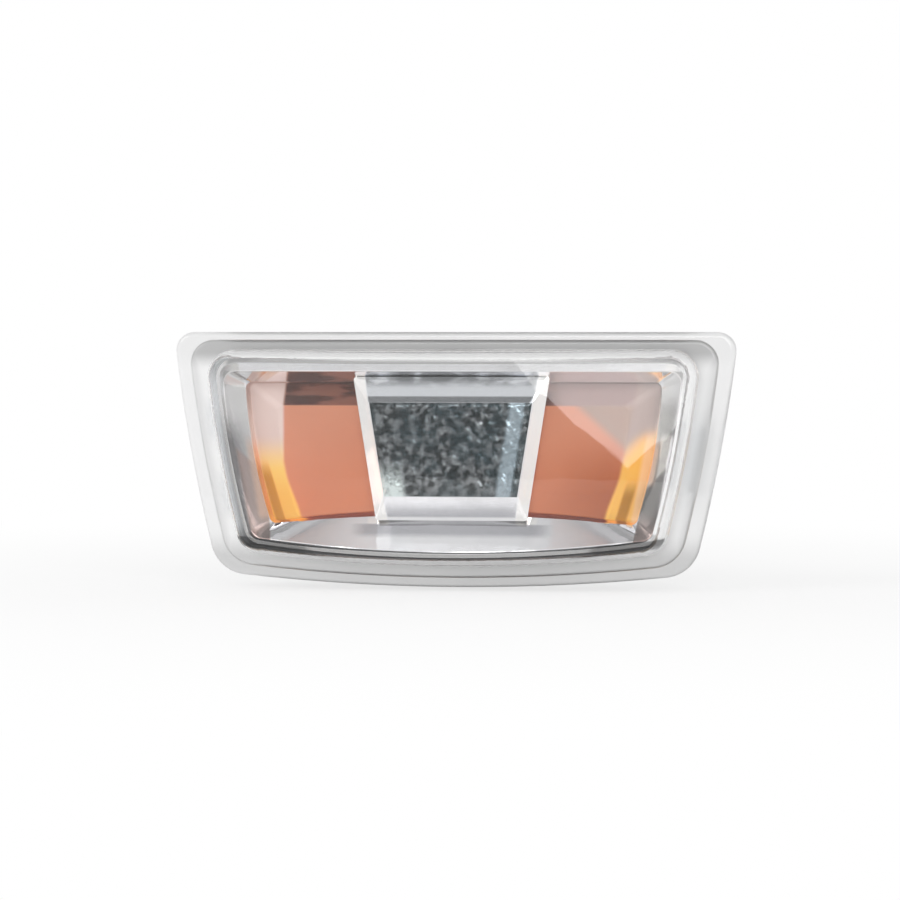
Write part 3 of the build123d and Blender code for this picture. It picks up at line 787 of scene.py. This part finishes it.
def buildCoil(bench, size):
    helix = bench.add("GeometryNodeCurveSpiral", None, {
        "Resolution": size["steps"], "Rotations": size["turns"], "Height": size["span"],
        "Start Radius": size["radius"], "End Radius": size["radius"]})
    spot = bench.add("GeometryNodeInputPosition")
    height = bench.split(spot, "Z")
    share = height / size["span"]
    arch = size["rise"] * 4.0 * share * (1.0 - share)      # rises fully in the middle
    depth = size["ends"] - size["radius"] - size["wire"] - arch
    place = bench.join(bench.split(spot, "X"), bench.split(spot, "Y") + depth, height + size["low"])
    bent = bench.add("GeometryNodeSetPosition", None, {"Geometry": helix, "Position": place})
    section = bench.add("GeometryNodeCurvePrimitiveCircle", None, {
        "Resolution": size["sides"], "Radius": size["wire"]})
    return bench.add("GeometryNodeCurveToMesh", None, {
        "Curve": bent, "Profile Curve": section, "Fill Caps": True})


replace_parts(growPiece("woundFilament", coil, buildCoil, "holder"), "bulb_filament")

# rings that the ejector pins leave on the rear wall of the housing
marks = {
    "rear": 15.0 * mm,
    "middle": 0.5 * mm,
    "spanX": 54.0 * mm,
    "spanZ": 17.0 * mm,
    "columns": 2,
    "rows": 2,
    "radius": 2.2 * mm,
    "steps": 48,                                  # round a ring
    "bead": 0.06 * mm,
    "sides": 8,                                   # of the bead
    "coat": finishes["housing"],
}


def buildMarks(bench, size):
    grid = bench.add("GeometryNodeMeshGrid", None, {
        "Size X": size["spanX"], "Size Y": size["spanZ"],
        "Vertices X": size["columns"], "Vertices Y": size["rows"]})
    spot = bench.add("GeometryNodeInputPosition")
    upright = bench.join(bench.split(spot, "X"), size["rear"], bench.split(spot, "Y") + size["middle"])
    points = bench.add("GeometryNodeSetPosition", None, {"Geometry": grid, "Position": upright})
    circle = bench.add("GeometryNodeCurvePrimitiveCircle", None, {
        "Resolution": size["steps"], "Radius": size["radius"]})
    section = bench.add("GeometryNodeCurvePrimitiveCircle", None, {
        "Resolution": size["sides"], "Radius": size["bead"]})
    ring = bench.add("GeometryNodeCurveToMesh", None, {"Curve": circle, "Profile Curve": section})
    return bench.add("GeometryNodeInstanceOnPoints", None, {
        "Points": points, "Instance": ring, "Rotation": (math.pi / 2, 0.0, 0.0)})


growPiece("ejectorMarks", marks, buildMarks, "lamp")

# camera at the photograph's angle
camera = {
    "azimuth": math.radians(7.0),
    "elevation": math.radians(2.0),
    "distance": 0.6,
    "clipStart": 0.01,
    "sensor": 36.0,
    "frameWidth": 153.7 * mm,                     # what the square frame spans at the seat
    "aim": Vector((-0.8 * mm, 0.0, 1.6 * mm)),
}


def makeCamera():
    level = math.cos(camera["elevation"])
    towards = Vector((math.sin(camera["azimuth"]) * level, -math.cos(camera["azimuth"]) * level,
                      math.sin(camera["elevation"])))
    data = bpy.data.cameras.new("camera")
    data.sensor_width = camera["sensor"]
    data.lens = camera["sensor"] * camera["distance"] / camera["frameWidth"]
    data.clip_start = camera["clipStart"]
    cameraObject = bpy.data.objects.new("camera", data)
    cameraObject.location = camera["aim"] + towards * camera["distance"]
    cameraObject.rotation_euler = (-towards).to_track_quat("-Z", "Y").to_euler()
    bpy.context.scene.collection.objects.link(cameraObject)
    bpy.context.scene.camera = cameraObject


# pale floor, white room with a dimmer ceiling and camera side, two soft lamps
studio = {
    "floorLevel": cadBox[0][2] - 0.3 * mm,
    "floorHalf": 0.32,
    "floorWhite": 0.70,                           # share of plain white under the lamp
    "floorEdge": (0.05, 0.22),                    # over this distance it grows to all
    "ceiling": 0.45,
    "ceilingEdge": (0.55, 0.95),                  # over this share of the direction upwards
    "cameraSide": 0.52,
    "cameraLean": 0.12,                           # the dim side is a little to the right of the camera
    "cameraEdge": (0.90, 0.985),
    "cameraTop": (0.075, 0.035),                  # and stays below this share upwards
    "lampTurn": math.radians(45.0),
}
lamps = {
    "keyLamp": {"place": (0.224, -0.85, 0.36), "size": (0.8, 0.45), "power": 3.0},
    "fillLamp": {"place": (-0.55, -0.45, 0.45), "size": (0.4, 0.4), "power": 1.5},
}


def seenDirectly(bench):      # by the camera, or through glass or off metal
    rays = [bench.add("ShaderNodeLightPath", out=kind)
            for kind in ("Is Camera Ray", "Is Glossy Ray", "Is Transmission Ray")]
    return rays[0].most(rays[1]).most(rays[2])


def makeFloor():
    half = studio["floorHalf"]
    corners = [(-half, -half, 0), (half, -half, 0), (half, half, 0), (-half, half, 0)]
    mesh = bpy.data.meshes.new("floor")
    mesh.from_pydata(corners, [], [(0, 1, 2, 3)])
    floor = bpy.data.objects.new("floor", mesh)
    floor.location = (0.0, 0.0, studio["floorLevel"])
    bpy.context.scene.collection.objects.link(floor)
    material = bpy.data.materials.new("paleFloor")
    material.use_nodes = True
    bench = NodeBench(material.node_tree)
    paint = bench.blend(bench.noise(6.0, 2.0), (0.86, 0.86, 0.86, 1), (0.90, 0.90, 0.90, 1))
    matt = bench.add("ShaderNodeBsdfDiffuse", None, {"Color": paint})
    glow = bench.add("ShaderNodeEmission", None, {"Color": (1, 1, 1, 1), "Strength": 1.0})
    distance = bench.add("ShaderNodeVectorMath", {"operation": "LENGTH"}, {0: bench.spot()}, "Value")
    white = bench.fade(distance, *studio["floorEdge"], studio["floorWhite"], 1.0)
    mixed = bench.add("ShaderNodeMixShader", None, {0: seenDirectly(bench) * white, 1: matt, 2: glow})
    bench.add("ShaderNodeOutputMaterial", None, {"Surface": mixed})
    mesh.materials.append(material)


def makeWorld():
    world = bpy.data.worlds.new("studio")
    bpy.context.scene.world = world
    world.use_nodes = True
    bench = NodeBench(world.node_tree)
    direction = bench.add("ShaderNodeTexCoord", out="Generated")
    upward = bench.split(direction, "Z")
    ceiling = bench.fade(upward, *studio["ceilingEdge"], 1.0, studio["ceiling"])
    facing = bench.split(direction, "X") * studio["cameraLean"] - bench.split(direction, "Y")
    dim = bench.fade(facing, *studio["cameraEdge"]) * bench.fade(upward, *studio["cameraTop"])
    room = ceiling.least(1.0 - dim * (1.0 - studio["cameraSide"]))
    seen = bench.add("ShaderNodeLightPath", out="Is Camera Ray")
    colour = bench.blend(seen, bench.join(room, room, room), (1, 1, 1, 1))
    glow = bench.add("ShaderNodeBackground", None, {"Color": colour, "Strength": 1.0})
    bench.add("ShaderNodeOutputWorld", None, {"Surface": glow})


def makeLamp(name, lamp):
    data = bpy.data.lights.new(name, "AREA")
    data.shape = "RECTANGLE"
    data.size, data.size_y = lamp["size"]
    data.energy = lamp["power"]
    lampObject = bpy.data.objects.new(name, data)
    lampObject.location = lamp["place"]
    turn = Quaternion((0.0, 0.0, 1.0), studio["lampTurn"])
    lampObject.rotation_euler = ((-lampObject.location).to_track_quat("-Z", "Y") @ turn).to_euler()
    bpy.context.scene.collection.objects.link(lampObject)


makeCamera()
makeFloor()
makeWorld()
for name, lamp in lamps.items():
    makeLamp(name, lamp)
bpy.context.scene.view_settings.view_transform = "Standard"
print("stage: studio set")
